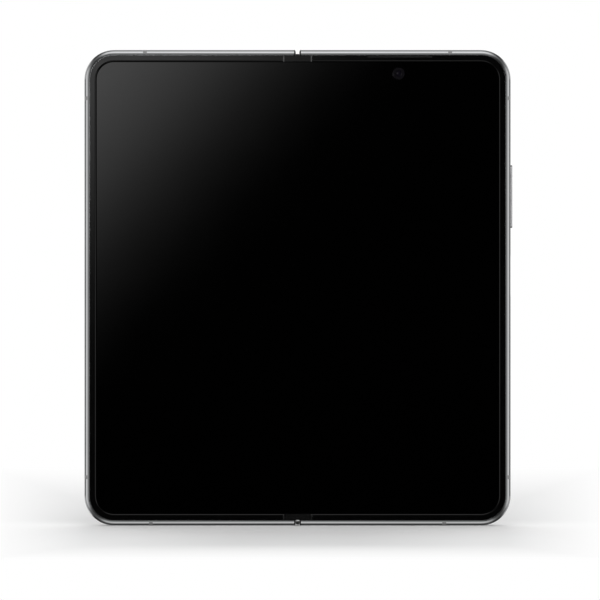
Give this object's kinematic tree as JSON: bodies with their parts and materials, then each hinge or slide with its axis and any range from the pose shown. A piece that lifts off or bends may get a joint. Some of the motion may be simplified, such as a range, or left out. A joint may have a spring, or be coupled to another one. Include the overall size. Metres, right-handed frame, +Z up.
{
  "type": "foldable smartphone",
  "caption": "Book-style foldable smartphone: slim metal-framed halves on a geared hinge, with a folding inner screen, a cover screen, side keys and a camera island.",
  "frame": {"origin": "on the surface the phone stands on, under the middle of its box, at mid-thickness of the halves", "axes": "+X to the right as the main screen is seen, +Y away from the viewer through the phone's thickness, +Z up along the fold"},
  "size_m": [0.144, 0.0081, 0.16],
  "materials": {
    "frame_metal": "satin silver, polished edges",
    "spine_metal": "satin silver",
    "bezel_plastic": "satin black",
    "screen": "glossy black folding screen, off",
    "cover_screen": "glossy black cover glass",
    "rear_glass": "frosted silver glass",
    "island_metal": "satin silver",
    "lens_glass": "dark coated lens glass",
    "flash": "clear diffuser",
    "antenna_plastic": "grey plastic",
    "steel": "plain steel",
    "battery_foil": "black foil pouch",
    "board": "dark solder mask",
    "module_plastic": "black plastic",
    "motor_metal": "plain"
  },
  "bodies": {
    "spine": {"spine_cover": "spine_metal", "hinge_bases": "steel", "hinge_base_screws": "steel", "top_fold_cap": "bezel_plastic", "bottom_fold_cap": "bezel_plastic", "display_fold_strip": "screen", "torque_washers": "steel"},
    "right_half": {"right_frame": "frame_metal", "right_bezel": "bezel_plastic", "right_display_panel": "screen", "right_wing_plate": "steel", "rear_glass": "rear_glass", "camera_island": "island_metal", "lens_covers": "lens_glass", "flash_lens": "flash", "camera_modules": "module_plastic", "main_board": "board", "charging_board": "board", "shield_cans": "steel", "right_board_screws": "steel", "right_battery": "battery_foil", "usb_shell": "steel", "usb_tongue": "module_plastic", "bottom_speaker": "module_plastic", "vibration_motor": "motor_metal", "receiver": "module_plastic", "inner_camera": "lens_glass", "earpiece_mesh": "module_plastic", "key_switches": "board", "right_rotors": "steel", "right_rotor_screws": "steel", "right_antenna_strips": "antenna_plastic"},
    "left_half": {"left_frame": "frame_metal", "left_bezel": "bezel_plastic", "left_display_panel": "screen", "left_wing_plate": "steel", "cover_glass": "cover_screen", "cover_display": "cover_screen", "cover_camera": "lens_glass", "left_board": "board", "left_board_screws": "steel", "left_battery": "battery_foil", "top_speaker": "module_plastic", "sim_reader": "steel", "left_rotors": "steel", "left_rotor_screws": "steel", "left_antenna_strips": "antenna_plastic"},
    "left_sync": {"left_sync_shafts": "steel", "left_sync_arms": "steel"},
    "right_sync": {"right_sync_shafts": "steel", "right_sync_arms": "steel"},
    "left_idler": {"left_idlers": "steel"},
    "right_idler": {"right_idlers": "steel"},
    "volume_key": {"volume_key": "frame_metal"},
    "power_key": {"power_key": "frame_metal"},
    "sim_tray": {"sim_tray": "frame_metal"}
  },
  "joints": [
    {"name": "right_fold", "type": "hinge", "parent": "spine", "child": "right_half", "pos_m": [0.00065, -0.00265, 0.08], "axis": [0, 0, -1], "range_deg": [0, 90], "deforming": ["display_fold_strip"]},
    {"name": "left_fold", "type": "hinge", "parent": "spine", "child": "left_half", "pos_m": [-0.00065, -0.00265, 0.08], "axis": [0, 0, 1], "range_deg": [0, 90]},
    {"name": "left_sync_turn", "type": "hinge", "parent": "spine", "child": "left_sync", "pos_m": [-0.0027, -0.00045, 0.08], "axis": [0, 0, 1], "range_deg": [0, 90]},
    {"name": "right_sync_turn", "type": "hinge", "parent": "spine", "child": "right_sync", "pos_m": [0.0027, -0.00045, 0.08], "axis": [0, 0, 1], "range_deg": [-90, 0]},
    {"name": "left_idler_turn", "type": "hinge", "parent": "spine", "child": "left_idler", "pos_m": [-0.0009, -0.00045, 0.08], "axis": [0, 0, 1], "range_deg": [-90, 0]},
    {"name": "right_idler_turn", "type": "hinge", "parent": "spine", "child": "right_idler", "pos_m": [0.0009, -0.00045, 0.08], "axis": [0, 0, 1], "range_deg": [0, 90]},
    {"name": "volume_rock", "type": "hinge", "parent": "right_half", "child": "volume_key", "pos_m": [0.0683, 0, 0.1107], "axis": [0, 1, 0], "range_deg": [-1.2, 1.2], "stiffness_Nm_per_rad": 0.05},
    {"name": "power_press", "type": "slide", "parent": "right_half", "child": "power_key", "axis": [-1, 0, 0], "range_m": [0, 0.00025], "stiffness_N_per_m": 300},
    {"name": "sim_tray_slide", "type": "slide", "parent": "left_half", "child": "sim_tray", "axis": [-1, 0, 0], "range_m": [0, 0.016]}
  ],
  "couplings": [
    {"joint": "left_fold", "follows": "right_fold", "ratio": 1},
    {"joint": "left_sync_turn", "follows": "right_fold", "ratio": 1},
    {"joint": "right_sync_turn", "follows": "right_fold", "ratio": -1},
    {"joint": "left_idler_turn", "follows": "right_fold", "ratio": -1},
    {"joint": "right_idler_turn", "follows": "right_fold", "ratio": 1}
  ]
}
